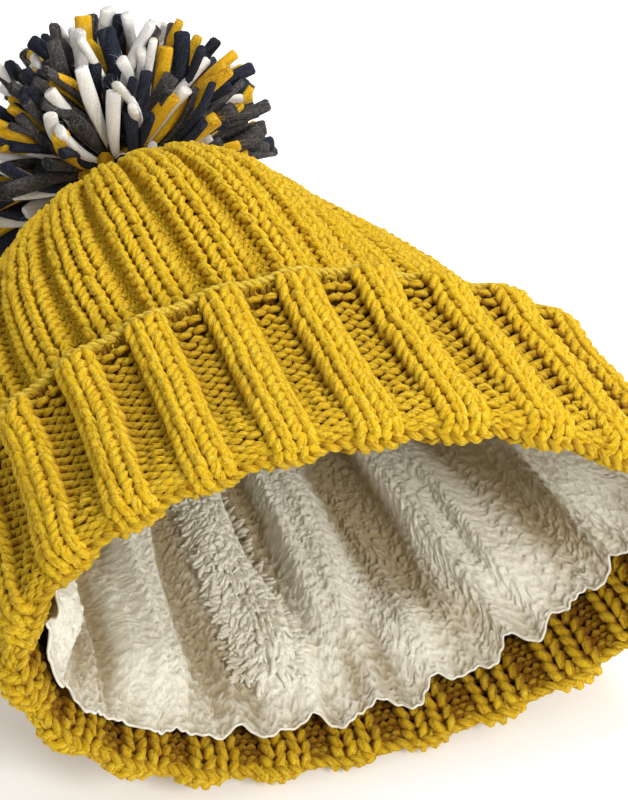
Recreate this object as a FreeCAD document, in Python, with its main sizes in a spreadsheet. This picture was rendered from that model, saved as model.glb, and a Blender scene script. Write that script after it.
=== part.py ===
"""Pom pom beanie: a chunky rib-knit hat with a turned-up cuff, a fleece lining and a yarn pom pom.

The hat lies on its side. +Y runs along its axis from the open rim to the pom pom, +X is its width and
+Z is up from the surface that it lies on. The origin is the bottom centre of the whole object's box.
Lengths are in millimetres.
"""
import FreeCAD, Part
import math
import os
import Sketcher
from FreeCAD import Placement, Rotation, Vector

DOC = FreeCAD.newDocument("pom_pom_beanie")
SHEET = DOC.addObject("Spreadsheet::Sheet", "Params")

# Each row: name, value, meaning. The name is the cell's alias.
DIMENSIONS = [
    ("rim_y", -151.2, "where the rim lies along Y, so that the box is centred on the origin"),
    ("rim_half_width", 105.5, "outer half width of the inner knit at the rim"),
    ("rim_half_height", 62.5, "outer half height of the inner knit at the rim"),
    ("rim_z", 67.5, "height of the axis at the rim"),
    ("shoulder_at", 95.0, "distance from the rim to where the crown starts to close"),
    ("shoulder_half_width", 99.0, "outer half width of the knit at the shoulder"),
    ("shoulder_half_height", 60.0, "outer half height of the knit at the shoulder"),
    ("shoulder_z", 65.5, "height of the axis at the shoulder"),
    ("dome_length", 118.0, "distance from the shoulder to the top of the closed crown"),
    ("gather_z", 66.5, "height of the axis at the gathered top"),
    ("crown_lean", 12.0, "how far the gathered top leans to the left"),
    ("gather_angle", 12.0, "angle on the dome, from its top, where the knit ends"),
    ("knit_thickness", 5.5, "thickness of one layer of knit"),
    ("layer_gap", 0.5, "clearance between two layers"),
    ("edge_start", 7.5, "distance from the rim to where the knit layers start"),
    ("cuff_depth", 84.0, "distance from the rim to the cuff's upper end"),
    ("cuff_thickness", 6.0, "thickness of the turned-up layer"),
    ("chain_radius", 3.5, "radius of the linked chain along the rim"),
    ("chain_inset", 1.0, "how far the chain's centre line lies inside the cuff's inner face"),
    ("edge_yarn_radius", 2.0, "radius of the yarn along the cuff's upper end"),
    ("fleece_gap", 1.0, "room between the knit and the fleece lining"),
    ("fleece_thickness", 5.5, "thickness of the fleece"),
    ("fleece_start", 22.0, "distance from the rim to the fleece's hem"),
    ("fleece_top_gap", 13.0, "space between the fleece and the knit at the top of the crown"),
    ("fleece_seam_thickness", 1.6, "thickness of a seam between two fleece panels"),
    ("fleece_seam_gap", 2.4, "width of the gap that each seam fills"),
    ("fleece_seam_angle", 31.0, "angle of the seams above and below the widest line"),
    ("hem_thread_radius", 1.1, "radius of the overlocked thread at the fleece's hem"),
    ("tack_radius", 5.4, "radius of the tack that closes the fleece at the top"),
    ("tack_hole_radius", 6.0, "radius of the opening that the tack fills"),
    ("knit_seam_width", 2.4, "width of the yarn seam that closes the knit"),
    ("knit_slot_width", 3.0, "width of the slot that the yarn seam fills"),
    ("gather_hole_radius", 7.0, "radius of the hole in the gathered top"),
    ("gather_ring_radius", 11.6, "radius of the gathering yarn's ring"),
    ("gather_yarn_radius", 1.9, "radius of the gathering yarn"),
    ("anchor_radius", 5.0, "radius of the knot behind the gathered top"),
    ("tether_yarn_radius", 1.3, "radius of each tail that ties on the pom pom"),
    ("tether_spacing", 3.4, "distance between the two tails"),
    ("base_knot_radius", 4.0, "radius of the knot under the pom pom"),
    ("pom_reach", 34.0, "distance from the pivot in the gathered top to the pom pom's centre"),
    ("pom_radius", 60.0, "length of a pom pom lock from the centre"),
    ("pom_core_radius", 10.0, "radius of the tightly tied middle of the pom pom"),
    ("pom_lock_start", 13.0, "distance from the centre to where the locks part"),
    ("pom_lock_slope", 0.16, "radius of a lock over its distance from the centre"),
    ("tie_radius", 1.1, "radius of the yarn that ties the pom pom's middle"),
]

# Angles on the dome, from its top, at which the crown's sections lie.
DOME_ANGLES = (72, 54, 38, 24)
# Shares of the straight tube at which it has sections, closer together near the dome.
TUBE_SHARES = (0.25, 0.5, 0.8, 1.0)
RIM_PLANE = "0"
NO_LEAN = "0 * Params.crown_lean"
CUT_MARGIN = 2.0
REACH = 400.0
POM_LOCKS = 80
POM_OPEN_ANGLE = 100.0
POM_COLOURS = ("charcoal", "white", "navy", "mustard")


def fill_sheet():
    for row, (alias, value, meaning) in enumerate(DIMENSIONS, start=1):
        SHEET.set("A%d" % row, str(value))
        SHEET.setAlias("A%d" % row, alias)
        SHEET.set("B%d" % row, meaning)
    DOC.recompute()


def size(alias):
    return float(SHEET.get(alias))


def cell(alias):
    return "Params." + alias


# --- sections across the hat ------------------------------------------------------------------------

def section(along, half_width, half_height, centre_z, lean=NO_LEAN):
    """One ellipse across the hat's axis, as expressions; along is its distance from the rim."""
    return {"along": along, "half_width": half_width, "half_height": half_height, "centre_z": centre_z,
            "lean": lean}


def tube_section(along, offset):
    """Section between rim and shoulder; offset moves its surface outwards."""
    share = "(%s) / Params.shoulder_at" % along

    def between(rim, shoulder):
        return "Params.%s + (Params.%s - Params.%s) * %s" % (rim, shoulder, rim, share)

    return section(along,
                   between("rim_half_width", "shoulder_half_width") + " + " + offset,
                   between("rim_half_height", "shoulder_half_height") + " + " + offset,
                   between("rim_z", "shoulder_z"))


def dome_section(angle, offset, top_gap="0"):
    """Section of the half ellipsoid that closes the crown, at an angle from its top."""
    rise = "sin(%s * 1 deg)" % angle
    reach = "cos(%s * 1 deg)" % angle
    return section("Params.shoulder_at + (Params.dome_length + %s - %s) * %s" % (offset, top_gap, reach),
                   "(Params.shoulder_half_width + %s) * %s" % (offset, rise),
                   "(Params.shoulder_half_height + %s) * %s" % (offset, rise),
                   "Params.shoulder_z + (Params.gather_z - Params.shoulder_z) * (1 - %s)" % rise,
                   "Params.crown_lean * " + reach)


def straight_sections(start, end, offset):
    """The two ends of a straight tube layer."""
    return [tube_section(start, offset), tube_section(end, offset)]


def crown_sections(start, offset, top_gap="0"):
    """The sections of a closed layer, from its open end to its gathered top."""
    sections = [tube_section(start, offset)]
    sections += [tube_section("%s * Params.shoulder_at" % share, offset) for share in TUBE_SHARES]
    sections += [dome_section(angle, offset, top_gap) for angle in DOME_ANGLES]
    return sections + [dome_section("Params.gather_angle", offset, top_gap)]


# --- sketches and features ----------------------------------------------------------------------------

def origin_plane(body, role):
    return next(item for item in body.Origin.OriginFeatures if item.Role == role)


def sketch_across(body, name, along):
    """Sketch square to the hat's axis: its x is +X and its y is +Z."""
    sketch = body.newObject("Sketcher::SketchObject", name)
    sketch.AttachmentSupport = [(origin_plane(body, "XZ_Plane"), "")]
    sketch.MapMode = "FlatFace"
    sketch.setExpression("AttachmentOffset.Base.z", "-(Params.rim_y + %s)" % along)
    return sketch


def name_size(sketch, constraint, name, expression):
    sketch.renameConstraint(constraint, name)
    sketch.setExpression("Constraints." + name, expression)


def ellipse_sketch(body, name, shape):
    sketch = sketch_across(body, name, shape["along"])
    half_width = size("shoulder_half_width")
    half_height = size("shoulder_half_height")
    centre = Vector(0, size("rim_z"), 0)
    ellipse = sketch.addGeometry(Part.Ellipse(centre, half_width, half_height), False)
    sketch.exposeInternalGeometry(ellipse)
    major = ellipse + 1
    minor = ellipse + 2
    lean = sketch.addConstraint(Sketcher.Constraint("DistanceX", ellipse, 3, -1, 1, 0))
    sketch.addConstraint(Sketcher.Constraint("Horizontal", major))
    height = sketch.addConstraint(Sketcher.Constraint("DistanceY", -1, 1, ellipse, 3, centre.y))
    width = sketch.addConstraint(Sketcher.Constraint("Distance", major, 2 * half_width))
    depth = sketch.addConstraint(Sketcher.Constraint("Distance", minor, 2 * half_height))
    name_size(sketch, lean, "lean", shape["lean"])
    name_size(sketch, height, "centre_z", shape["centre_z"])
    name_size(sketch, width, "full_width", "2 * (%s)" % shape["half_width"])
    name_size(sketch, depth, "full_height", "2 * (%s)" % shape["half_height"])
    return sketch


def new_body(label):
    body = DOC.addObject("PartDesign::Body", label)
    body.Label = label
    return body


def loft(body, kind, shapes):
    """AdditiveLoft or SubtractiveLoft through elliptical sections."""
    tag = "outside" if kind == "AdditiveLoft" else "inside"
    sketches = [ellipse_sketch(body, "%s_section_%d" % (tag, i), shape) for i, shape in enumerate(shapes)]
    feature = body.newObject("PartDesign::" + kind, tag)
    feature.Profile = sketches[0]
    feature.Sections = sketches[1:]
    feature.Ruled = False
    return feature


def closed_layer(body, start, outer, inner, top_gap="0"):
    """One layer of the crown: a straight tube that runs into a dome, hollowed the same way."""
    loft(body, "AdditiveLoft", crown_sections(start, outer, top_gap))
    loft(body, "SubtractiveLoft", crown_sections("(%s - %s)" % (start, CUT_MARGIN), inner, top_gap))


def circle_sketch(sketch, radius):
    circle = sketch.addGeometry(Part.Circle(Vector(0, 0, 0), Vector(0, 0, 1), size(radius)), False)
    sketch.addConstraint(Sketcher.Constraint("Coincident", circle, 3, -1, 1))
    value = sketch.addConstraint(Sketcher.Constraint("Radius", circle, size(radius)))
    name_size(sketch, value, "radius", cell(radius))
    return sketch


def yarn_ring(label, path, radius):
    """Round yarn that runs once round the hat along an elliptical path."""
    body = new_body(label)
    spine = ellipse_sketch(body, "path", path)
    profile = body.newObject("Sketcher::SketchObject", "yarn")
    profile.AttachmentSupport = [(origin_plane(body, "XY_Plane"), "")]
    profile.MapMode = "FlatFace"
    profile.setExpression("AttachmentOffset.Base.x", path["half_width"])
    profile.setExpression("AttachmentOffset.Base.y", "Params.rim_y + " + path["along"])
    profile.setExpression("AttachmentOffset.Base.z", path["centre_z"])
    circle_sketch(profile, radius)
    pipe = body.newObject("PartDesign::AdditivePipe", "ring")
    pipe.Profile = profile
    pipe.Spine = (spine, ["Edge1"])
    return body


def block(name, length, width, height, base_x="0", base_y="0", base_z="0"):
    """Box along the row's axes, by expressions for its sizes and its lowest corner."""
    box = DOC.addObject("Part::Box", name)
    box.setExpression("Length", length)
    box.setExpression("Width", width)
    box.setExpression("Height", height)
    box.setExpression("Placement.Base.x", base_x)
    box.setExpression("Placement.Base.y", base_y)
    box.setExpression("Placement.Base.z", base_z)
    return box


def boolean(kind, label, base, tool):
    result = DOC.addObject("Part::" + kind, label)
    result.Label = label
    result.Base = base
    result.Tool = tool
    return result


# --- the knit -----------------------------------------------------------------------------------------

def cut_floor(body):
    """Flatten the underside where it rests on the surface, at the height of the origin."""
    sketch = sketch_across(body, "below_the_surface", RIM_PLANE)
    corners = [Vector(-REACH, -REACH), Vector(REACH, -REACH), Vector(REACH, 0), Vector(-REACH, 0)]
    for start, end in zip(corners, corners[1:] + corners[:1]):
        sketch.addGeometry(Part.LineSegment(start, end), False)
    pocket = body.newObject("PartDesign::Pocket", "resting_patch")
    pocket.Profile = sketch
    pocket.Type = "Length"
    pocket.Length = REACH
    pocket.Midplane = True
    return pocket


def knit_tube(label):
    """The inner layer of knit, from the rim to the gathered top, with the hole that the tether uses."""
    offset_in = "(0 - Params.knit_thickness)"
    body = new_body(label)
    closed_layer(body, cell("edge_start"), "0", offset_in)
    hole_sketch = sketch_across(body, "gather_hole_outline", cell("shoulder_at"))
    hole_sketch.setExpression("AttachmentOffset.Base.x", "0 - Params.crown_lean")
    hole_sketch.setExpression("AttachmentOffset.Base.y", cell("gather_z"))
    circle_sketch(hole_sketch, "gather_hole_radius")
    hole = body.newObject("PartDesign::Pocket", "gather_hole")
    hole.Profile = hole_sketch
    hole.Type = "Length"
    hole.Length = REACH
    hole.Reversed = False
    return body


def cuff_tube(label):
    """The turned-up layer, flat underneath where it rests."""
    body = new_body(label)
    outer = "(Params.layer_gap + Params.cuff_thickness)"
    loft(body, "AdditiveLoft", straight_sections(cell("edge_start"), cell("cuff_depth"), outer))
    cut_start = "(Params.edge_start - %s)" % CUT_MARGIN
    loft(body, "SubtractiveLoft", crown_sections(cut_start, cell("layer_gap")))
    cut_floor(body)
    return body


def seamed(whole, knit_label, seam_label):
    """Part a knit tube along its left-hand side and fill the slot with its yarn seam."""

    def strip(name, width):
        return block(name, str(REACH), str(2 * REACH), cell(width), "%s - Params.crown_lean" % -REACH,
                     str(-REACH), "Params.rim_z - 0.5 * " + cell(width))

    knit = boolean("Cut", knit_label, whole, strip(knit_label + "_slot", "knit_slot_width"))
    seam = boolean("Common", seam_label, whole, strip(seam_label + "_strip", "knit_seam_width"))
    return knit, seam


# --- the fleece lining --------------------------------------------------------------------------------

def fleece_shell(label):
    """The whole lining, before it is parted into panels, which also trims its open end; its top stops
    short of the knit."""
    offset_out = "(0 - Params.knit_thickness - Params.fleece_gap)"
    offset_in = "(0 - Params.knit_thickness - Params.fleece_gap - Params.fleece_thickness)"
    body = new_body(label)
    closed_layer(body, cell("edge_start"), offset_out, offset_in, cell("fleece_top_gap"))
    hole_sketch = sketch_across(body, "tack_opening_outline", cell("shoulder_at"))
    hole_sketch.setExpression("AttachmentOffset.Base.x", "0 - Params.crown_lean")
    hole_sketch.setExpression("AttachmentOffset.Base.y", cell("gather_z"))
    circle_sketch(hole_sketch, "tack_hole_radius")
    hole = body.newObject("PartDesign::Pocket", "tack_opening")
    hole.Profile = hole_sketch
    hole.Type = "Length"
    hole.Length = REACH
    return body


def axis_point(along=0.0):
    """Point on the gathered top's axis, by its Y in the row's frame."""
    return Vector(-size("crown_lean"), along, size("gather_z"))


def put_on_axis(piece, along, shift_x=0.0):
    """Bind a piece's place to the gathered top's axis; along is its distance from the rim."""
    piece.setExpression("Placement.Base.x", "%s - Params.crown_lean" % shift_x)
    piece.setExpression("Placement.Base.y", "Params.rim_y + " + along)
    piece.setExpression("Placement.Base.z", cell("gather_z"))


def fleece_edge():
    """Where the lining's open end is, by its Y in the row's frame."""
    return size("rim_y") + size("fleece_start")


def turned_block(name, thickness, turn):
    """Slab that reaches outwards from the lining's axis, turned about that axis."""
    slab = DOC.addObject("Part::Box", name)
    slab.setExpression("Length", str(REACH))
    slab.setExpression("Width", str(2 * REACH))
    slab.setExpression("Height", cell(thickness))
    about_axis = Rotation(Vector(0, 1, 0), -turn)
    corner = Vector(0, fleece_edge(), -size(thickness) / 2)
    slab.Placement = Placement(axis_point() + about_axis.multVec(corner), about_axis)
    return slab


def wedge(name, turn_from, turn_to):
    """Prism along Y between two seams, seen from the lining's axis, set back by half a seam gap."""
    middle = math.radians((turn_from + turn_to) / 2)
    half_angle = math.radians((turn_to - turn_from) / 2)
    setback = size("fleece_seam_gap") / 2 / math.sin(half_angle)
    apex = Vector(math.cos(middle), 0, math.sin(middle)) * setback + axis_point()
    corners = [apex]
    for turn in (turn_from, (turn_from + turn_to) / 2, turn_to):
        angle = math.radians(turn)
        corners.append(apex + Vector(math.cos(angle), 0, math.sin(angle)) * REACH)
    edge = Vector(0, fleece_edge(), 0)
    face = Part.Face(Part.makePolygon([corner + edge for corner in corners + corners[:1]]))
    prism = DOC.addObject("Part::Feature", name)
    prism.Shape = face.extrude(Vector(0, 2 * REACH, 0))
    return prism


def fleece_lining():
    """Four fleece panels, the four seams between them and the tack that closes their tips."""
    whole = fleece_shell("fleece_whole")
    turn = size("fleece_seam_angle")
    seams = {"right_top": turn, "left_top": 180 - turn, "left_bottom": 180 + turn,
             "right_bottom": 360 - turn}
    panels = {"right": (-turn, turn), "top": (turn, 180 - turn), "left": (180 - turn, 180 + turn),
              "bottom": (180 + turn, 360 - turn)}
    pieces = []
    for side, (turn_from, turn_to) in panels.items():
        prism = wedge("wedge_" + side, turn_from, turn_to)
        pieces.append(boolean("Common", "fleece_panel_" + side, whole, prism))
    for side, seam_turn in seams.items():
        slab = turned_block("slab_" + side, "fleece_seam_thickness", seam_turn)
        pieces.append(boolean("Common", "fleece_seam_" + side, whole, slab))
    return pieces


def axis_cylinder(label, radius, start, end, shift_x=0.0):
    """Cylinder along Y on the gathered top's axis; start and end are distances from the rim."""
    cylinder = DOC.addObject("Part::Cylinder", label)
    cylinder.Label = label
    cylinder.setExpression("Radius", cell(radius))
    cylinder.setExpression("Height", "(%s) - (%s)" % (end, start))
    cylinder.Placement = Placement(Vector(0, 0, 0), Rotation(Vector(1, 0, 0), -90))
    put_on_axis(cylinder, start, shift_x)
    return cylinder


def axis_ball(label, radius, along):
    ball = DOC.addObject("Part::Sphere", label)
    ball.Label = label
    ball.setExpression("Radius", cell(radius))
    put_on_axis(ball, along)
    return ball


def axis_ring(label, ring_radius, yarn_radius, along, turn):
    """Ring of yarn about the gathered top's axis, or turned to stand along it."""
    ring = DOC.addObject("Part::Torus", label)
    ring.Label = label
    ring.setExpression("Radius1", ring_radius)
    ring.setExpression("Radius2", cell(yarn_radius))
    ring.Placement = Placement(Vector(0, 0, 0), turn)
    put_on_axis(ring, along)
    return ring


def group(label, members):
    compound = DOC.addObject("Part::Compound", label)
    compound.Label = label
    compound.Links = members
    return compound


# --- the pom pom --------------------------------------------------------------------------------------

CROWN_TOP = "(Params.shoulder_at + Params.dome_length * cos(Params.gather_angle * 1 deg))"
PIVOT = "(%s - 0.5 * Params.knit_thickness)" % CROWN_TOP
POM_CENTRE = "(%s + Params.pom_reach)" % PIVOT


def pom_tie_pieces():
    """What ties the pom pom on: gathering yarn, anchor knot, two tails, base knot, core and waist tie."""
    gap = "Params.layer_gap"
    facing_axis = Rotation(Vector(1, 0, 0), 90)
    standing = Rotation(Vector(0, 1, 0), 90)
    gather = axis_ring("crown_gather_yarn", cell("gather_ring_radius"), "gather_yarn_radius",
                       "%s + %s + Params.gather_yarn_radius" % (CROWN_TOP, gap), facing_axis)
    under_top = "(%s - Params.knit_thickness)" % CROWN_TOP
    anchor = axis_ball("pom_anchor_knot", "anchor_radius",
                       "%s - Params.anchor_radius - 3 * %s" % (under_top, gap))
    knot_centre = "(%s - Params.pom_core_radius - Params.base_knot_radius - 8 * %s)" % (POM_CENTRE, gap)
    tail_end = "(%s - Params.base_knot_radius - 2 * %s)" % (knot_centre, gap)
    tails = []
    for number, side in enumerate((-0.5, 0.5), start=1):
        tails.append(axis_cylinder("tail_%d" % number, "tether_yarn_radius", under_top, tail_end,
                                   side * size("tether_spacing")))
    knot = axis_ball("pom_base_knot", "base_knot_radius", knot_centre)
    core = axis_ball("pom_core", "pom_core_radius", POM_CENTRE)
    tie = axis_ring("pom_waist_tie", "Params.pom_core_radius + %s + Params.tie_radius" % gap, "tie_radius",
                    POM_CENTRE, standing)
    return [gather, anchor, group("pom_tether", tails), knot, core, tie]


def pom_lock(name, direction, centre):
    """One lock of cut yarn: a cone that widens outwards, with a blunt end."""
    lock = DOC.addObject("Part::Cone", name)
    lock.setExpression("Radius1", "Params.pom_lock_slope * Params.pom_lock_start")
    lock.setExpression("Radius2", "Params.pom_lock_slope * Params.pom_radius")
    lock.setExpression("Height", "Params.pom_radius - Params.pom_lock_start")
    turn = Rotation(Vector(0, 0, 1), direction)
    lock.Placement = Placement(centre + direction * size("pom_lock_start"), turn)
    return lock


def pom_locks():
    """Locks evenly spread about the centre, except where the crown is, in four colours."""
    crown_top = size("shoulder_at") + size("dome_length") * math.cos(math.radians(size("gather_angle")))
    pom_along = crown_top - size("knit_thickness") / 2 + size("pom_reach")
    centre = axis_point(size("rim_y") + pom_along)
    golden_turn = math.pi * (3 - math.sqrt(5))
    locks = {colour: [] for colour in POM_COLOURS}
    for number in range(POM_LOCKS):
        outward = 1 - (2 * number + 1) / POM_LOCKS
        if outward < math.cos(math.radians(POM_OPEN_ANGLE)):
            break
        spread = math.sqrt(1 - outward * outward)
        turn = number * golden_turn
        direction = Vector(spread * math.cos(turn), outward, spread * math.sin(turn))
        colour = POM_COLOURS[number % len(POM_COLOURS)]
        locks[colour].append(pom_lock("lock_%s_%d" % (colour, number), direction, centre))
    return [group("pom_locks_" + colour, members) for colour, members in locks.items()]


# --- the whole hat --------------------------------------------------------------------------------------

def build():
    fill_sheet()
    crown, crown_seam = seamed(knit_tube("crown_whole"), "knit_crown", "crown_seam")
    cuff, cuff_seam = seamed(cuff_tube("cuff_whole"), "knit_cuff", "cuff_seam")
    chain = yarn_ring("rim_chain", tube_section(cell("chain_radius"), "Params.chain_inset"), "chain_radius")
    edge_at = "(Params.cuff_depth + Params.layer_gap + Params.edge_yarn_radius)"
    edge = yarn_ring("cuff_edge_yarn", tube_section(edge_at, "Params.layer_gap + Params.edge_yarn_radius"),
                     "edge_yarn_radius")
    hem_at = "(Params.fleece_start - Params.layer_gap - Params.hem_thread_radius)"
    hem_offset = "(0 - Params.knit_thickness - 2 * Params.layer_gap - Params.hem_thread_radius)"
    hem = yarn_ring("fleece_hem_stitching", tube_section(hem_at, hem_offset), "hem_thread_radius")
    tack_end = "(Params.shoulder_at + (Params.dome_length - Params.knit_thickness - Params.fleece_top_gap)" \
               " * cos(Params.gather_angle * 1 deg))"
    tack = axis_cylinder("fleece_crown_tack", "tack_radius", tack_end + " - Params.fleece_thickness", tack_end)
    pieces = [crown, crown_seam, cuff, cuff_seam, chain, edge, hem, tack]
    return pieces + fleece_lining() + pom_tie_pieces() + pom_locks()


def check(pieces):
    DOC.recompute()
    for item in DOC.Objects:
        if "Invalid" in item.State or "Error" in item.State:
            raise RuntimeError("%s failed: %s" % (item.Label, item.State))
    for piece in pieces:
        if piece.Shape.isNull() or not piece.Shape.isValid() or not piece.Shape.Solids:
            raise RuntimeError("%s has no valid solid" % piece.Label)


def write(pieces):
    os.makedirs("parts", exist_ok=True)
    for piece in pieces:
        piece.Shape.exportStep("parts/%s.step" % piece.Label)
        box = piece.Shape.BoundBox
        extent = (box.XMin, box.XMax, box.YMin, box.YMax, box.ZMin, box.ZMax)
        print("%-22s %2d solid(s) %9.0f mm3" % (piece.Label, len(piece.Shape.Solids), piece.Shape.Volume))
        print("    x %6.1f %6.1f  y %6.1f %6.1f  z %6.1f %6.1f" % extent)


PIECES = build()
check(PIECES)
write(PIECES)
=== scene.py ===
import math

import bpy
import numpy as np
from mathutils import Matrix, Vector


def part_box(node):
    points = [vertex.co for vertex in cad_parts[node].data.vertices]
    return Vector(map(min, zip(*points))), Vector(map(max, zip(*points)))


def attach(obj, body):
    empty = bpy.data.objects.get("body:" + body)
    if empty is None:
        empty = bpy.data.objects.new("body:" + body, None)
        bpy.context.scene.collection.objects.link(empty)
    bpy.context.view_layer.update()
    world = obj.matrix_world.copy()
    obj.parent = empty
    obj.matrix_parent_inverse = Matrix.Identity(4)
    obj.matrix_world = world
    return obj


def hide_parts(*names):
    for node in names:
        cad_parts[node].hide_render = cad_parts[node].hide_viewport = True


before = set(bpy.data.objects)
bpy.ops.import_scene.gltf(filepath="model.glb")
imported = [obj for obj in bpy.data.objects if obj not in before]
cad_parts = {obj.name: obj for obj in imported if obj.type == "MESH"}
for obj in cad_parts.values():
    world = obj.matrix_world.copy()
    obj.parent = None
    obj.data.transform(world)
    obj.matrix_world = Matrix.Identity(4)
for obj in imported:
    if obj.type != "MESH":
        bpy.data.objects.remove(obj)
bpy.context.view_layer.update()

MM = 0.001
TURN = 2 * math.pi

# --- the hat's form, in metres, with the same sizes as the CAD model ------------------------------
RIM_Y = -151.2 * MM
RIM_HALF = np.array([105.5, 62.5]) * MM
RIM_Z = 67.5 * MM
SHOULDER = 95 * MM
SHOULDER_HALF = np.array([99.0, 60.0]) * MM
SHOULDER_Z = 65.5 * MM
DOME_LENGTH = 118 * MM
GATHER_Z = 66.5 * MM
CROWN_LEAN = 12 * MM
GATHER_ANGLE = math.radians(12)
CUFF_DEPTH = 84 * MM
FOLD_RADIUS = 6.0 * MM
FOLD_OUT = 0.5 * MM

# --- how the soft hat lies ------------------------------------------------------------------------
# The rim slants: its upper part, its right-hand side and its upper right corner reach forward or stay back.
SLANT_LENGTH = 90 * MM
SLANT_MOST = 1.15
UPPER_SHIFT = 6.0 * MM
SIDE_SHIFT = -7.5 * MM
CORNER_SHIFT = -4.5 * MM
# The upper right of the rim droops, from this share of the half width on.
RIM_DROOP = 10 * MM
DROOP_START = 0.3
DROOP_WIDTH = 0.6
# The right-hand side of the cuff flares out, most at the rim.
CUFF_FLARE = 6 * MM
FLARE_WIDTH = 105 * MM
FLARE_START = 25 * MM
FLARE_LENGTH = 50 * MM
FLARE_LOSS = 0.8
# The crown is free to change its form from a little below the cuff's upper edge.
FREE_BELOW = 12 * MM
FREE_LENGTH = 32 * MM
# Its right-hand side is thinner, and its left-hand side is pressed in.
RIGHT_WIDTH = 62 * MM
RIGHT_TAPER = 0.07
RIGHT_SHIFT = 5 * MM
RIGHT_DROP = 18 * MM
LEFT_WIDTH = 80 * MM
LEFT_SHIFT = 4 * MM
# Its top is fuller, round a place a little left of the middle.
CROWN_FULLNESS = 13 * MM
FULL_LENGTH = 90 * MM
FULL_START = 34 * MM
FULL_X = -8 * MM
FULL_WIDTH = 58 * MM
FULL_BACK = 0.35
# Nothing sinks into the floor.
FLOOR_GAP = 0.9 * MM
FLOOR_BLUR = 2.5 * MM

# --- the knitting ---------------------------------------------------------------------------------
RIBS = 22
ROW = 4.4 * MM
CROWN_ROW = 3.6 * MM
YARN = 1.75 * MM
STITCH_STEPS = 12
YARN_SIDES = 6
KNIT_SHARE = 0.56
RIB_DEPTH = 5.4 * MM
RIB_TOP = 0.17
RIB_SLOPE = 0.24


def smooth(value):
    """0 up to 0, 1 from 1 on, and a smooth change between."""
    value = np.clip(value, 0.0, 1.0)
    return value * value * (3 - 2 * value)


def unit(vectors):
    """The same directions with a length of 1."""
    return vectors / np.maximum(np.linalg.norm(vectors, axis=-1, keepdims=True), 1e-12)


def table_of_arcs(half_a, half_b, start, end, steps=2000):
    """Angles along part of an ellipse and the length of arc up to each."""
    angles = np.linspace(start, end, steps)
    points = np.stack([half_a * np.cos(angles), half_b * np.sin(angles)], axis=-1)
    lengths = np.concatenate([[0.0], np.cumsum(np.linalg.norm(np.diff(points, axis=0), axis=1))])
    return angles, lengths


AROUND_ANGLES, AROUND_ARCS = table_of_arcs(RIM_HALF[0], RIM_HALF[1], 0.0, TURN)
AROUND_SHARES = AROUND_ARCS / AROUND_ARCS[-1]
DOME_MEAN = float(SHOULDER_HALF.mean())
DOME_RISES, DOME_ARCS = table_of_arcs(DOME_MEAN, DOME_LENGTH, 0.0, math.pi / 2 - GATHER_ANGLE)
CROWN_END = SHOULDER + DOME_ARCS[-1]


def section_angle(share):
    """Angle round a section; share 0 is the left-hand side, where the seams are."""
    return np.interp(np.mod(share, 1.0), AROUND_SHARES, AROUND_ANGLES) + math.pi


def hat_point(share, along, out):
    """Point on the hat: share of the way round, length along the crown's surface from the rim, and
    distance outside that surface."""
    share, along, out = np.broadcast_arrays(share, along, out)
    angle = section_angle(share)
    straight = np.minimum(along, SHOULDER) / SHOULDER
    rise = np.interp(along - SHOULDER, DOME_ARCS, DOME_RISES)
    half_width = RIM_HALF[0] + (SHOULDER_HALF[0] - RIM_HALF[0]) * straight + out
    half_height = RIM_HALF[1] + (SHOULDER_HALF[1] - RIM_HALF[1]) * straight + out
    centre_z = RIM_Z + (SHOULDER_Z - RIM_Z) * straight + (GATHER_Z - SHOULDER_Z) * (1 - np.cos(rise))
    x = half_width * np.cos(rise) * np.cos(angle) - CROWN_LEAN * np.sin(rise)
    z = half_height * np.cos(rise) * np.sin(angle) + centre_z
    y = RIM_Y + np.minimum(along, SHOULDER) + (DOME_LENGTH + out) * np.sin(rise)
    return slump(np.stack([x, y, z], axis=-1))


def slump(point):
    """How the soft hat lies: the lower lip of its opening reaches further forward than the upper one, the
    crown stands fuller at its top and thinner on its right, and nothing sinks into the floor."""
    x, y, z = point[..., 0], point[..., 1], point[..., 2]
    from_rim = y - RIM_Y
    near_rim = np.clip(1 - from_rim / SLANT_LENGTH, 0, SLANT_MOST)
    rise, side = z / RIM_Z - 1, x / RIM_HALF[0]
    lean = UPPER_SHIFT * rise + (SIDE_SHIFT + CORNER_SHIFT * rise) * side
    droop = RIM_DROOP * smooth((side - DROOP_START) / DROOP_WIDTH) * np.clip(rise, 0, 1) * near_rim
    beyond_cuff = smooth((from_rim - CUFF_DEPTH + FREE_BELOW) / FREE_LENGTH)
    right = smooth(x / RIGHT_WIDTH) * beyond_cuff
    left = smooth(-x / LEFT_WIDTH) * beyond_cuff
    upper = np.clip((z - SHOULDER_Z) / SHOULDER_HALF[1], 0, 1)
    off_axis = np.hypot(x + CROWN_LEAN, z - GATHER_Z)
    full = smooth((from_rim - CUFF_DEPTH) / FULL_LENGTH) * smooth(off_axis / FULL_START) * upper
    full = full * np.exp(-((x - FULL_X) / FULL_WIDTH) ** 2)
    flare = smooth(x / FLARE_WIDTH) * (1 - FLARE_LOSS * smooth((from_rim - FLARE_START) / FLARE_LENGTH))
    flare = flare * (1 - beyond_cuff)
    x = x - right * (RIGHT_TAPER * x + RIGHT_SHIFT * upper) + left * LEFT_SHIFT + CUFF_FLARE * flare
    z = z - right * upper * RIGHT_DROP + CROWN_FULLNESS * full - droop
    y = y + near_rim * lean + FULL_BACK * CROWN_FULLNESS * full
    above = z - YARN - FLOOR_GAP
    z = YARN + FLOOR_GAP + 0.5 * (above + np.sqrt(above * above + FLOOR_BLUR ** 2))
    return np.stack([x, y, z], axis=-1)


# --- meshes ---------------------------------------------------------------------------------------

UV_LENGTH = 10 * MM


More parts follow.
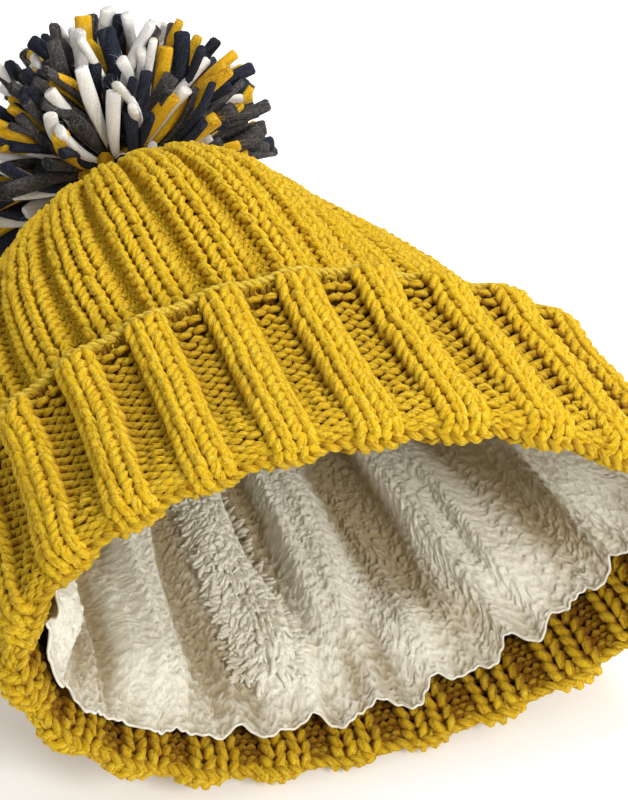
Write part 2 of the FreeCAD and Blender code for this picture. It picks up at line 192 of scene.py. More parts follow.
def quad_uvs(u0, v0, u1, v1):
    """Corners of quads in uv, in the order of their vertices."""
    corners = ((u0, v0), (u1, v0), (u1, v1), (u0, v1))
    return np.stack([np.stack(corner, axis=-1) for corner in corners], axis=-2)


def build_mesh(name, verts, quads, tris, uvs, relief=None):
    """Object from arrays: quads and triangles by vertex number, one uv for each face corner, and how far each
    vertex stands out of the fabric in mm, if that is given, with painted shade offsets; the material paints
    shade from it."""
    mesh = bpy.data.meshes.new(name)
    corners = np.concatenate([quads.reshape(-1), tris.reshape(-1)]).astype(np.int32)
    starts = np.concatenate([np.arange(len(quads)) * 4, len(quads) * 4 + np.arange(len(tris)) * 3])
    mesh.vertices.add(len(verts))
    mesh.vertices.foreach_set("co", np.asarray(verts, np.float32).reshape(-1))
    mesh.loops.add(len(corners))
    mesh.loops.foreach_set("vertex_index", corners)
    mesh.polygons.add(len(starts))
    mesh.polygons.foreach_set("loop_start", starts.astype(np.int32))
    mesh.update(calc_edges=True)
    layer = mesh.uv_layers.new(name="yarn")
    layer.data.foreach_set("uv", np.asarray(uvs, np.float32).reshape(-1))
    if relief is not None:
        values = mesh.attributes.new("relief", "FLOAT", "POINT")
        values.data.foreach_set("value", np.asarray(relief, np.float32).reshape(-1))
    mesh.shade_smooth()
    obj = bpy.data.objects.new(name, mesh)
    bpy.context.scene.collection.objects.link(obj)
    return obj


def tube_arrays(paths, outs, radii, sides, closed, flat=1.0):
    """Round tubes, all with the same number of steps: paths and outs are (tube, step, 3). A flat of less
    than 1 makes their sections oval, thin along outs."""
    count, steps = paths.shape[:2]
    if closed:
        tangents = unit(np.roll(paths, -1, axis=1) - np.roll(paths, 1, axis=1))
    else:
        tangents = unit(np.gradient(paths, axis=1))
    side = unit(np.cross(tangents, outs))
    up = np.cross(side, tangents)
    turn = np.arange(sides) * TURN / sides
    ring = np.cos(turn)[:, None] * side[:, :, None, :] + flat * np.sin(turn)[:, None] * up[:, :, None, :]
    verts = paths[:, :, None, :] + radii[:, :, None, None] * ring
    numbers = np.arange(count * steps * sides).reshape(count, steps, sides)
    ahead = np.roll(numbers, -1, axis=1)
    if closed:
        here, there = numbers, ahead
    else:
        here, there = numbers[:, :-1], numbers[:, 1:]
    quads = np.stack([here, there, np.roll(there, -1, axis=2), np.roll(here, -1, axis=2)], axis=-1)
    if closed:
        following = np.roll(paths, -1, axis=1)
    else:
        following = np.concatenate([paths[:, 1:], paths[:, -1:]], axis=1)
    lengths = np.linalg.norm(following - paths, axis=-1)
    travel = np.concatenate([np.zeros((count, 1)), np.cumsum(lengths, axis=1)], axis=1) / UV_LENGTH
    spans = quads.shape[1]
    u0 = np.repeat(travel[:, :spans, None], sides, axis=2)
    u1 = np.repeat(travel[:, 1:spans + 1, None], sides, axis=2)
    v0 = np.broadcast_to(np.arange(sides) / sides, u0.shape)
    uvs = quad_uvs(u0, v0, u1, v0 + 1 / sides)
    return verts.reshape(-1, 3), quads.reshape(-1, 4), uvs.reshape(-1, 2), numbers


def strands(name, paths, outs, radii, sides=6, closed=False, flat=1.0, relief=None):
    """Tubes as one object; open ones are closed at each end with a small cap. relief, which drives the painted
    shade, is for each step.
    """
    verts, quads, uvs, numbers = tube_arrays(paths, outs, radii, sides, closed, flat)
    tris = np.zeros((0, 3), int)
    if relief is not None:
        relief = np.repeat(relief.reshape(-1), sides)
    if not closed:
        tips = np.concatenate([paths[:, 0], paths[:, -1]])
        first = len(verts) + np.arange(len(paths))
        last = first + len(paths)
        start_ring, end_ring = numbers[:, 0], numbers[:, -1]
        start = np.stack([np.roll(start_ring, -1, 1), np.broadcast_to(first[:, None], start_ring.shape),
                          start_ring], axis=-1)
        end = np.stack([end_ring, np.broadcast_to(last[:, None], end_ring.shape), np.roll(end_ring, -1, 1)],
                       axis=-1)
        tris = np.concatenate([start.reshape(-1, 3), end.reshape(-1, 3)])
        verts = np.concatenate([verts, tips])
        uvs = np.concatenate([uvs, np.zeros((len(tris) * 3, 2))])
        if relief is not None:
            relief = np.concatenate([relief, relief[start_ring[:, 0]], relief[end_ring[:, 0]]])
    return build_mesh(name, verts, quads, tris, uvs, relief)


def joined(name, pieces):
    """One object from several that share a purpose."""
    bpy.ops.object.select_all(action="DESELECT")
    for piece in pieces:
        piece.select_set(True)
    bpy.context.view_layer.objects.active = pieces[0]
    bpy.ops.object.join()
    pieces[0].name = name
    pieces[0].data.name = name
    return pieces[0]


def grid(name, points, relief=None, closed_around=True):
    """Surface through points (row, place in the row, 3)."""
    rows, columns = points.shape[:2]
    numbers = np.arange(rows * columns).reshape(rows, columns)
    right = np.roll(numbers, -1, axis=1) if closed_around else numbers[:, 1:]
    left = numbers if closed_around else numbers[:, :-1]
    quads = np.stack([left[:-1], right[:-1], right[1:], left[1:]], axis=-1).reshape(-1, 4)
    spans = left.shape[1]
    u0, v0 = np.meshgrid(np.arange(spans) / spans, np.arange(rows - 1) / rows)
    uvs = quad_uvs(u0, v0, u0 + 1 / spans, v0 + 1 / rows)
    return build_mesh(name, points.reshape(-1, 3), quads, np.zeros((0, 3), int), uvs.reshape(-1, 2), relief)


# --- materials ------------------------------------------------------------------------------------

def colour(red, green, blue):
    """Linear colour from the usual 0 to 255 values."""
    def linear(value):
        value /= 255
        return value / 12.92 if value <= 0.04045 else ((value + 0.055) / 1.055) ** 2.4
    return (linear(red), linear(green), linear(blue), 1.0)


class Nodes:
    """Short calls for making a node tree."""

    def __init__(self, name):
        self.material = bpy.data.materials.new(name)
        self.material.use_nodes = True
        self.tree = self.material.node_tree
        self.shader = self.tree.nodes["Principled BSDF"]

    def put(self, socket, value):
        """Links another node's output, or sets a plain value."""
        if isinstance(value, bpy.types.NodeSocket):
            self.tree.links.new(value, socket)
        else:
            socket.default_value = value

    def math(self, operation, a, b=0.0, c=0.0):
        node = self.tree.nodes.new("ShaderNodeMath")
        node.operation = operation
        for socket, value in zip(node.inputs, (a, b, c)):
            self.put(socket, value)
        return node.outputs[0]

    def uv(self):
        """Place along a strand and round it."""
        node = self.tree.nodes.new("ShaderNodeUVMap")
        node.uv_map = "yarn"
        split = self.tree.nodes.new("ShaderNodeSeparateXYZ")
        self.tree.links.new(node.outputs[0], split.inputs[0])
        return split.outputs[0], split.outputs[1]

    def vector(self, x, y, z=0.0):
        node = self.tree.nodes.new("ShaderNodeCombineXYZ")
        for socket, value in zip(node.inputs, (x, y, z)):
            self.put(socket, value)
        return node.outputs[0]

    def noise(self, vector, scale, detail=2.0, roughness=0.5, distortion=0.0):
        node = self.tree.nodes.new("ShaderNodeTexNoise")
        self.put(node.inputs["Vector"], vector)
        node.inputs["Scale"].default_value = scale
        node.inputs["Detail"].default_value = detail
        node.inputs["Roughness"].default_value = roughness
        node.inputs["Distortion"].default_value = distortion
        return node.outputs["Fac"]

    def relief(self):
        """How far a place stands out of the fabric, in mm, with painted shade offsets; the material paints
        shade where it is low.
        """
        node = self.tree.nodes.new("ShaderNodeAttribute")
        node.attribute_name = "relief"
        return node.outputs["Fac"]

    def place(self):
        return self.tree.nodes.new("ShaderNodeTexCoord").outputs["Object"]

    def mix(self, factor, a, b):
        node = self.tree.nodes.new("ShaderNodeMix")
        node.data_type = "RGBA"
        self.put(node.inputs["Factor"], factor)
        self.put(node.inputs["A"], a)
        self.put(node.inputs["B"], b)
        return node.outputs["Result"]

    def between(self, value, low, high):
        """0 below low, 1 above high, and a smooth change between."""
        node = self.tree.nodes.new("ShaderNodeMapRange")
        node.interpolation_type = "SMOOTHSTEP"
        self.put(node.inputs["Value"], value)
        node.inputs["From Min"].default_value = low
        node.inputs["From Max"].default_value = high
        return node.outputs["Result"]

    def bump(self, height, distance):
        node = self.tree.nodes.new("ShaderNodeBump")
        node.inputs["Distance"].default_value = distance
        self.put(node.inputs["Height"], height)
        self.put(self.shader.inputs["Normal"], node.outputs[0])

    def finish(self, base, roughness, sheen, sheen_tint=(1, 1, 1, 1)):
        self.put(self.shader.inputs["Base Color"], base)
        self.shader.inputs["Roughness"].default_value = roughness
        self.shader.inputs["Specular IOR Level"].default_value = 0.2
        self.shader.inputs["Sheen Weight"].default_value = sheen
        self.shader.inputs["Sheen Roughness"].default_value = 0.5
        self.shader.inputs["Sheen Tint"].default_value = sheen_tint
        return self.material


# Reliefs, in mm, between which the painted shade colour gives way to the usual one
HOLLOW_SHADE_RANGE = (-1.6, 1.8)
PILE_SHADE_RANGE = (-1.0, 5.5)


def yarn_material(name, dark, base, light, plies=3, twist=1.6, depth=0.9 * MM, fibre=(3.0, 5.0),
                  hollow_shade=None):
    """Plied yarn: plies that wind round it, fine fibres along them, and slow changes of tone. Painted shade
    darkens it where the plies and fibres dip, a painted highlight lightens the fibres, and a painted shade
    colour, if given, shows where the yarn dips behind its neighbours."""
    nodes = Nodes(name)
    along, around = nodes.uv()
    phase = nodes.math("MULTIPLY_ADD", around, float(plies), nodes.math("MULTIPLY", along, twist))
    ply = nodes.math("ABSOLUTE", nodes.math("SINE", nodes.math("MULTIPLY", phase, math.pi)))
    fibres = nodes.noise(nodes.vector(nodes.math("MULTIPLY", along, fibre[0]),
                                      nodes.math("MULTIPLY", phase, fibre[1]),
                                      nodes.math("MULTIPLY", around, 0.5)), 1.6, 4.0, 0.65)
    patches = nodes.noise(nodes.place(), 70.0, 3.0, 0.6)
    grain = nodes.noise(nodes.place(), 1300.0, 3.0, 0.7)
    raised = nodes.math("ADD", nodes.math("MULTIPLY", ply, 0.6), nodes.math("MULTIPLY", fibres, 0.8))
    raised = nodes.math("ADD", raised, nodes.math("MULTIPLY_ADD", grain, 0.5, -0.25))
    # Painted shade: the yarn is darker where its plies and fibres dip.
    tone = nodes.mix(nodes.between(raised, 0.2, 0.8), dark, base)
    # Each tint: the pattern that it follows, where it starts and is full, how much it shows, and its colour.
    # The light tint on the fibres is a painted highlight; the grain and patch tints are random tone.
    tints = ((fibres, 0.5, 0.8, 0.75, light),
             (grain, 0.52, 0.7, 0.65, light),
             (grain, 0.46, 0.28, 0.55, dark),
             (patches, 0.45, 0.75, 0.2, dark))
    for pattern, start, full, amount, tint in tints:
        tone = nodes.mix(nodes.math("MULTIPLY", nodes.between(pattern, start, full), amount), tone, tint)
    if hollow_shade:
        # Painted shade where the yarn dips behind its neighbours and down in the grooves.
        tone = nodes.mix(nodes.between(nodes.relief(), *HOLLOW_SHADE_RANGE), hollow_shade, tone)
    nodes.bump(raised, depth)
    return nodes.finish(tone, 0.9, 0.1, light)


def plain_material(name, base, other, scale, depth, roughness=0.9, sheen=0.1, hollow_shade=None):
    """Fine-grained material; a painted shade colour shows in the lowest places of a piece that has a relief.
    """
    nodes = Nodes(name)
    grain = nodes.noise(nodes.place(), scale, 4.0, 0.6, 1.2)
    nodes.bump(grain, depth)
    tone = nodes.mix(nodes.between(grain, 0.35, 0.65), other, base)
    if hollow_shade:
        # Painted shade in the lowest places of the piece.
        tone = nodes.mix(nodes.between(nodes.relief(), *PILE_SHADE_RANGE), hollow_shade, tone)
    return nodes.finish(tone, roughness, sheen, base)


MUSTARDS = (colour(190, 134, 2), colour(230, 186, 12), colour(254, 236, 112))
# The knit gets an orange brown painted shade where its yarn lies low.
KNIT = yarn_material("mustard_knit_yarn", *MUSTARDS, hollow_shade=colour(132, 80, 1))
MUSTARD = yarn_material("mustard_yarn", *MUSTARDS)
PALE = yarn_material("pale_mustard_yarn", colour(204, 160, 24), colour(234, 198, 52), colour(252, 236, 140))
# The web's dark brown is painted shade, seen through the holes between the loops.
MUSTARD_BACK_SHADE = plain_material("mustard_backing_shade", colour(96, 56, 4), colour(60, 32, 2), 500, 0.5 * MM)
# The fleece's brownish colour is painted shade in its low places, with the warm tint of light bounced off the
# mustard knit.
FLEECE = plain_material("cream_fleece", colour(245, 241, 226), colour(228, 221, 200), 1000, 0.4 * MM, 0.95,
                        0.2, hollow_shade=colour(170, 152, 116))
THREAD = plain_material("cream_thread", colour(240, 234, 220), colour(214, 206, 188), 900, 0.2 * MM)
ROVING = {"plies": 1, "twist": 0.25, "depth": 0.35 * MM, "fibre": (0.7, 12.0)}
CHARCOAL = yarn_material("charcoal_roving", colour(26, 26, 28), colour(58, 57, 60), colour(132, 124, 108),
                         **ROVING)
NAVY = yarn_material("navy_roving", colour(12, 14, 22), colour(32, 35, 48), colour(70, 72, 80), **ROVING)
WHITE = yarn_material("white_roving", colour(196, 190, 178), colour(226, 224, 219), colour(246, 246, 244),
                      **ROVING)
POM_MUSTARD = yarn_material("mustard_roving", colour(160, 112, 6), colour(208, 160, 16),
                            colour(236, 200, 84), **ROVING)


# --- the knitted fabric ---------------------------------------------------------------------------

def rib_position(stitch, knits, purls, knit_share):
    """Share of the way round for a place counted in stitches; the first stitch of a rib starts at 0."""
    per_rib = knits + purls
    place = np.mod(stitch, per_rib)
    marks = np.array([0.0, knits, per_rib])
    shares = np.array([0.0, knit_share if purls else 1.0, 1.0])
    return np.floor(stitch / per_rib), np.interp(place, marks, shares), place


def valley(share, knit_share):
    """0 on top of a rib and 1 at the bottom of the groove next to it."""
    half_knit = 0.5 * knit_share
    from_middle = np.abs(np.mod(share - half_knit + 0.5, 1.0) - 0.5)
    return smooth((from_middle - half_knit + RIB_TOP) / RIB_SLOPE)


# A stitch, in stitches and rows: how far its yarn swings sideways, how tall the loop is, and how far from
# the edge of a rib it changes from knit to purl
LOOP_SWING = 0.205
LOOP_HEIGHT = 0.77
KNIT_EXTRA_HEIGHT = 0.04
FACE_EDGE = 0.22
LOOP_DEPTH = 1.35 * MM
PURL_YARN = 0.68
# How uneven the stitches are: sideways swing, place, height, lift and thickness of the yarn
UNEVEN_SWING = 0.014
UNEVEN_PLACE = 0.03
UNEVEN_HEIGHT = 0.035
UNEVEN_LIFT = 0.25 * MM
UNEVEN_YARN = 0.05


def knit_rows(surface, rows, pattern, yarn, seed, shift=0.0):
    """Centre-lines, outward directions, radii and relief of a fabric's rows, one closed loop of yarn each; the
    relief carries painted shade.

    surface(share, row, lift) gives points; pattern(row) gives the knit and purl stitches of a rib, the knit
    stitches' share of its width, the depth of the groove, and how much painted shade darkens the groove and
    the row."""
    random = np.random.default_rng(seed)
    result = []
    for row in rows:
        knits, purls, knit_share, groove, groove_shade, shade = pattern(row)
        per_rib = knits + purls
        count = per_rib * RIBS
        stitch = np.arange(count * STITCH_STEPS) / STITCH_STEPS
        turn = TURN * stitch
        wobble = random.normal(0, 1, (5, count))
        swing, place_off, height_off, lift_off, yarn_off = (
            np.interp(stitch, np.arange(count + 1), np.append(w, w[0])) for w in wobble)
        sideways = (LOOP_SWING + UNEVEN_SWING * swing) * np.sin(2 * turn)
        across = stitch + sideways + UNEVEN_PLACE * place_off + 0.5
        rib, share, place = rib_position(across, knits, purls, knit_share)
        dip = groove * valley(share, knit_share if purls else 1.0)
        if purls:
            inside = np.where(place < knits, np.minimum(place, knits - place),
                              -np.minimum(place - knits, per_rib - place))
        else:
            inside = np.ones_like(place)
        face = np.clip(inside / FACE_EDGE, -1, 1)
        level = np.cos(turn)
        arched = np.where(face < 0, level * (1.5 - 0.5 * level ** 2), level)
        height = (LOOP_HEIGHT + KNIT_EXTRA_HEIGHT * face + UNEVEN_HEIGHT * height_off) * arched
        loop = -face * LOOP_DEPTH * np.cos(2 * turn)
        lift = loop - dip + UNEVEN_LIFT * lift_off
        where = (rib + share + shift) / RIBS
        points = surface(where, row + height, lift)
        ahead = surface(where, row + height, lift + 1 * MM)
        knit_part = smooth(0.5 + 0.5 * face)
        radius = yarn * (1 + UNEVEN_YARN * yarn_off) * (PURL_YARN + (1 - PURL_YARN) * knit_part)
        # Relief for the painted shade: the loop's own relief, less painted shade in the groove and along the
        # row.
        result.append((points, unit(ahead - points), radius, loop - groove_shade * dip - shade))
    return result


def yarn_rows(name, rows):
    """One object from rows of closed yarn; rows may differ in their number of steps."""
    verts, quads, uvs, relief = [], [], [], []
    total = 0
    rise = np.sin(np.arange(YARN_SIDES) * TURN / YARN_SIDES)
    for points, outs, radius, height in rows:
        v, q, t, _ = tube_arrays(points[None], outs[None], radius[None], YARN_SIDES, True)
        verts.append(v)
        quads.append(q + total)
        uvs.append(t)
        # The side of each tube that faces into the fabric is lower, so it gets more painted shade.
        relief.append((height[:, None] + radius[:, None] * rise).reshape(-1) / MM)
        total += len(v)
    return build_mesh(name, np.concatenate(verts), np.concatenate(quads), np.zeros((0, 3), int),
                      np.concatenate(uvs), np.concatenate(relief))


OUTER_RUN = CUFF_DEPTH - FOLD_RADIUS
FOLD_RUN = math.pi * FOLD_RADIUS
INNER_RUN = 27 * MM
INNER_SHIFT = 1.0 * MM
TOP_STAND = 2.5 * MM
STAND_LENGTH = 26 * MM


def cuff_surface(share, row, lift):
    """The turned-up fabric: down the outside from the cuff's top edge, round the rim, and up inside."""
    travel = row * ROW
    turn = np.clip((travel - OUTER_RUN) / FOLD_RADIUS, 0, math.pi)
    inner = np.maximum(travel - OUTER_RUN - FOLD_RUN, 0)
    outer = np.minimum(travel, OUTER_RUN)
    reach = FOLD_RADIUS - YARN + lift
    along = CUFF_DEPTH - outer - reach * np.sin(turn) + inner
    stand = TOP_STAND * smooth(1 - travel / STAND_LENGTH)
    out = FOLD_OUT + reach * np.cos(turn) + stand - INNER_SHIFT * smooth(inner / ROW)
    return hat_point(share, along, out)


CROWN_START = CUFF_DEPTH - 10 * MM
CROWN_ROWS = int((CROWN_END - CROWN_START) / CROWN_ROW)
GATHER_ROWS = 3
GATHER_HOLE = 7.5 * MM
UNDER_CUFF = 1.5 * MM
UNDER_CUFF_LENGTH = 22 * MM


def gathered(points, share, inward, hole):
    """Points drawn in towards the hat's axis, as far as a small hole in the middle."""
    angle = section_angle(share)
    ring = np.stack([hole * np.cos(angle) - CROWN_LEAN, points[..., 1],
                     hole * np.sin(angle) + GATHER_Z], axis=-1)
    return points + (ring - points) * inward[..., None]


def crown_surface(share, row, lift):
    """The crown's own knit, from under the cuff's top edge to the top, where it is gathered."""
    along = CROWN_START + row * CROWN_ROW
    pressed = UNDER_CUFF * smooth(1 - (along - CUFF_DEPTH) / UNDER_CUFF_LENGTH)
    points = hat_point(share, along, lift - YARN - pressed)
    return gathered(points, share, np.clip((row - CROWN_ROWS + 1) / GATHER_ROWS, 0, 1), GATHER_HOLE)


CUFF_ROWS = int((OUTER_RUN + FOLD_RUN + INNER_RUN) / ROW)


# Groove's depth as a share of RIB_DEPTH, and how much painted shade it gets; HEM_SHADE paints shade over the
# hem band, and CROWN_SHADE, which is negative, paints the crown lighter
FOLD_GROOVE = 0.42
EDGE_GROOVE = 0.5
CUFF_GROOVE_SHADE = 0.24
EDGE_GROOVE_SHADE = 0.12
HEM_SHARE = 0.2
HEM_SHADE = 2.0 * MM
CROWN_GROOVE_SHADE = 0.12
CROWN_SHADE = -0.5 * MM
CROWN_SHARE = 0.77
CROWN_SHARE_GAIN = 0.10
LAST_SHARE = 0.86
# Shares of the crown's rows up to which a rib is 2 knit 2 purl, and then 2 knit 1 purl
FIRST_DECREASE = 0.62
LAST_DECREASE = 0.86


def cuff_pattern(row):
    """2 x 2 rib; the grooves are shallower at the cuff's top edge and near the fold."""
    travel = row * ROW
    above_fold = smooth((OUTER_RUN - 6 * MM - travel) / (18 * MM))
    below_top = smooth(1 - travel / (14 * MM))
    turned = smooth((travel - OUTER_RUN - 0.4 * FOLD_RUN) / (0.5 * FOLD_RUN))
    from_edge = EDGE_GROOVE + (1 - EDGE_GROOVE) * smooth(travel / (15 * MM))
    groove = RIB_DEPTH * (FOLD_GROOVE + (1 - FOLD_GROOVE) * above_fold) * from_edge
    # Painted shade in the grooves, more of it just under the cuff's top edge, and over the hem band past the
    # fold.
    groove_shade = CUFF_GROOVE_SHADE + EDGE_GROOVE_SHADE * below_top
    return 2, 2, KNIT_SHARE + HEM_SHARE * turned, groove, groove_shade, HEM_SHADE * turned


def crown_pattern(row):
    """2 x 2 rib that loses its purl stitches towards the top."""
    share = row / CROWN_ROWS
    if share < FIRST_DECREASE:
        knit_share = CROWN_SHARE + CROWN_SHARE_GAIN * share / FIRST_DECREASE
        return 2, 2, knit_share, RIB_DEPTH * 0.82, CROWN_GROOVE_SHADE, CROWN_SHADE
    if share < LAST_DECREASE:
        return 2, 1, LAST_SHARE, RIB_DEPTH * 0.7, CROWN_GROOVE_SHADE, CROWN_SHADE
    return 2, 0, 1.0, RIB_DEPTH * 0.6, CROWN_GROOVE_SHADE, CROWN_SHADE


WEB_AROUND = 8 * RIBS
CUFF_WEB = -5.0 * MM
CROWN_WEB = -5.5 * MM


def backing(name, surface, rows, lift):
    """Plain web behind the loops, so that no light comes through the holes between them; its dark colour is
    painted shade in the holes.
    """
    share, row = np.meshgrid(np.arange(WEB_AROUND) / WEB_AROUND, rows)
    piece = grid(name, surface(share, row, lift))
    piece.data.materials.append(MUSTARD_BACK_SHADE)
    return piece


def knitted(node, web, rows, names):
    """The fabric of a CAD node as a few pieces, each with its share of the rows. The last also has the
    web."""
    for name, chosen in zip(names, np.array_split(np.arange(len(rows)), len(names))):
        parts = [yarn_rows(name + "_loops", rows[chosen[0]:chosen[-1] + 1])]
        parts[0].data.materials.append(KNIT)
        if name == names[-1]:
            parts += web
        piece = joined(name, parts)
        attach(piece, "hat")
        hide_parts(node)


def make_cuff():
    rows = knit_rows(cuff_surface, np.arange(1, CUFF_ROWS), cuff_pattern, YARN, 11)
    web = backing("knit_cuff_web", cuff_surface, np.linspace(0.6, CUFF_ROWS - 0.6, 40), CUFF_WEB)
    knitted("knit_cuff", [web], rows, ("knitted_cuff_outside", "knitted_cuff_inside"))


def make_crown():
    """The crown's knit, its web, and a strip of web that joins it to the hem band inside the rim."""
    all_rows = CROWN_ROWS + GATHER_ROWS
    rows = knit_rows(crown_surface, np.arange(0, all_rows), crown_pattern, 0.9 * YARN, 23, shift=0.5)
    web = backing("knit_crown_web", crown_surface, np.linspace(-10, all_rows - 1, 70), CROWN_WEB)
    share, level = np.meshgrid(np.arange(WEB_AROUND) / WEB_AROUND, np.linspace(0, 1, 5))
    hem = grid("knit_crown_hem", hat_point(share, (24 + 14 * level) * MM, -(3.5 + 5.5 * level) * MM))
    # The strip inside the rim is the same dark web, painted shade.
    hem.data.materials.append(MUSTARD_BACK_SHADE)
    knitted("knit_crown", [web, hem], rows,
            ("knitted_crown_lower", "knitted_crown_middle", "knitted_crown_upper", "knitted_crown_top"))


def ring_along(surface, row, steps, lift, scallop):
    """A closed line round the hat that follows the ribs, and the directions out of the hat along it."""
    share = np.arange(steps) / steps
    height = lift - scallop * valley(np.mod(share * RIBS, 1.0), KNIT_SHARE)
    points = surface(share, row, height)
    ahead = surface(share, row, height + 1 * MM)
    return points, unit(ahead - points)


def twisted_ring(name, node, row, lift, scallop, yarn, swing, pitch_count, material):
    """Two strands of yarn twisted together, once round the cuff."""
    steps = pitch_count * STITCH_STEPS
    points, outs = ring_along(cuff_surface, row, steps, lift, scallop)
    tangents = unit(np.roll(points, -1, axis=0) - np.roll(points, 1, axis=0))
    sides = np.cross(tangents, outs)
    turn = np.arange(steps) / steps * TURN * pitch_count
    lines = [points + swing * (np.cos(turn + start)[:, None] * outs + np.sin(turn + start)[:, None] * sides)
             for start in (0.0, math.pi)]
    # Relief for the painted shade: each strand is darker where it twists in behind the other, in a material
    # that has a painted shade colour.
    relief = [swing / MM * np.cos(turn + start) for start in (0.0, math.pi)]
    piece = strands(name, np.stack(lines), np.stack([outs, outs]), np.full((2, steps), yarn), YARN_SIDES, True,
                    relief=np.stack(relief))
    piece.data.materials.append(material)
    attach(piece, "hat")
    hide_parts(node)


# --- the lining -----------------------------------------------------------------------------------

# The lining's lower edge: how far it is from the rim at some places round the hat
EDGE_SHARES = (0.0, 0.05, 0.28, 0.46, 0.9, 1.0)
EDGE_STARTS = np.array([5.5, 6.0, 9.0, 20.0, 18.0, 5.5]) * MM
EDGE_TEETH = 4.0 * MM
LINING_START = 9 * MM
LINING_END = SHOULDER + 0.97 * DOME_ARCS[-1]
LINING_OUT = -11.8 * MM
LINING_CLOSE = 24 * MM
LINING_HOLE = 3 * MM
# Near its edge the lining is sewn to the knit.
SEWN_LENGTH = 28 * MM
SEWN_PRESS = 6 * MM
SEWN_HEIGHT = 3 * MM
FOLD_HEIGHT = 9.5 * MM
RIPPLE_HEIGHT = 0.8 * MM
# The ridge of long pile along the lower seam, and the valley on its left
SEAM_SHARE = 0.212
RIDGE_HEIGHT = 8.0 * MM
RIDGE_LEFT = 0.035
RIDGE_RIGHT = 0.007
VALLEY_LEFT = 0.056
VALLEY_WIDTH = 0.026
# The pile: distances in mm between its curls and its clumps, the surface's steps, and its height
PILE_PITCH = 1.9
PILE_CLUMP = 4.6
PILE_AROUND, PILE_ROWS = 1000, 380
PILE_HEIGHT = 1.2 * MM
# Painted shade, in mm of relief: the low pile is darker and its tips lighter, and the lining darkens further
# inside the hat.
PILE_SHADE = 2.8
DEPTH_SHADE = 3.6
TUFTS = 2600
PANELS = {"fleece_bottom": ["fleece_panel_bottom", "fleece_seam_right_bottom"],
          "fleece_right": ["fleece_panel_right", "fleece_seam_right_top"],
          "fleece_top": ["fleece_panel_top", "fleece_seam_left_top"],
          "fleece_left": ["fleece_panel_left"]}


def waves(share, along, seed, count, fewest, most):
    """Smooth random folds that run from the rim to the crown, about 1 high."""
    random = np.random.default_rng(seed)
    total = np.zeros(np.broadcast(share, along).shape)
    for number in range(count):
        turns = random.integers(fewest, most)
        start = random.uniform(0, TURN)
        lean = random.uniform(-4, 4)
        total = total + np.sin(TURN * turns * share + start + lean * along / 0.1) / math.sqrt(count)
    return total


def seam_ridge(share, along):
    """Height, from 0 to 1, of the long pile that is pushed up along the lining's lower seam."""
    off = np.mod(share - SEAM_SHARE + 0.5, 1.0) - 0.5 + 0.004 * np.sin(along / (11 * MM))
    gentle = smooth(1 - np.abs(off) / RIDGE_LEFT) * (off < 0)
    steep = smooth(1 - off / RIDGE_RIGHT) * (off >= 0)
    return (gentle + steep) * smooth((along - 20 * MM) / (30 * MM))


def away_from_edge(share, along):
    """0 at the lining's edge, where it is sewn to the knit, and 1 further in."""
    edge = np.interp(np.mod(share, 1.0), EDGE_SHARES, EDGE_STARTS)
    return smooth((along - edge) / SEWN_LENGTH)


def lining_relief(share, along):
    """How far the folds, small waves and seam ridge of the lining stand in from its lowest places."""
    from_edge = away_from_edge(share, along)
    off = np.mod(share - SEAM_SHARE + 0.5 + VALLEY_LEFT, 1.0) - 0.5
    beside_seam = smooth(1 - np.abs(off) / VALLEY_WIDTH)
    folds = FOLD_HEIGHT * smooth(0.5 + 0.5 * waves(share, along, 5, 5, 7, 15))
    folds = folds * from_edge * (1 - beside_seam)
    small = RIPPLE_HEIGHT * waves(share, along, 6, 7, 18, 60)
    return folds + small + RIDGE_HEIGHT * seam_ridge(share, along) + SEWN_HEIGHT * (1 - from_edge)


def lining_point(share, along, lift=0.0):
    """Inside face of the lining, lifted off it towards the head space by lift."""
    closing = 3 * MM * smooth((along - SHOULDER) / DOME_ARCS[-1])
    pressed = SEWN_PRESS * (1 - away_from_edge(share, along))
    points = hat_point(share, along, LINING_OUT + pressed - lift - lining_relief(share, along) - closing)
    return gathered(points, share, smooth((along - LINING_END + LINING_CLOSE) / LINING_CLOSE), LINING_HOLE)


def ragged_start(share):
    """Where the lining's lower edge is: a tooth at each rib, and smaller ones between."""
    teeth = np.abs(np.mod(share * RIBS + 0.2, 1.0) - 0.5) * 2
    level = np.zeros_like(share)
    uneven = 1.4 * MM * waves(share, level, 9, 5, 5, 40) + 0.45 * MM * waves(share, level, 10, 9, 60, 150)
    return np.interp(np.mod(share, 1.0), EDGE_SHARES, EDGE_STARTS) + EDGE_TEETH * smooth(teeth) + uneven


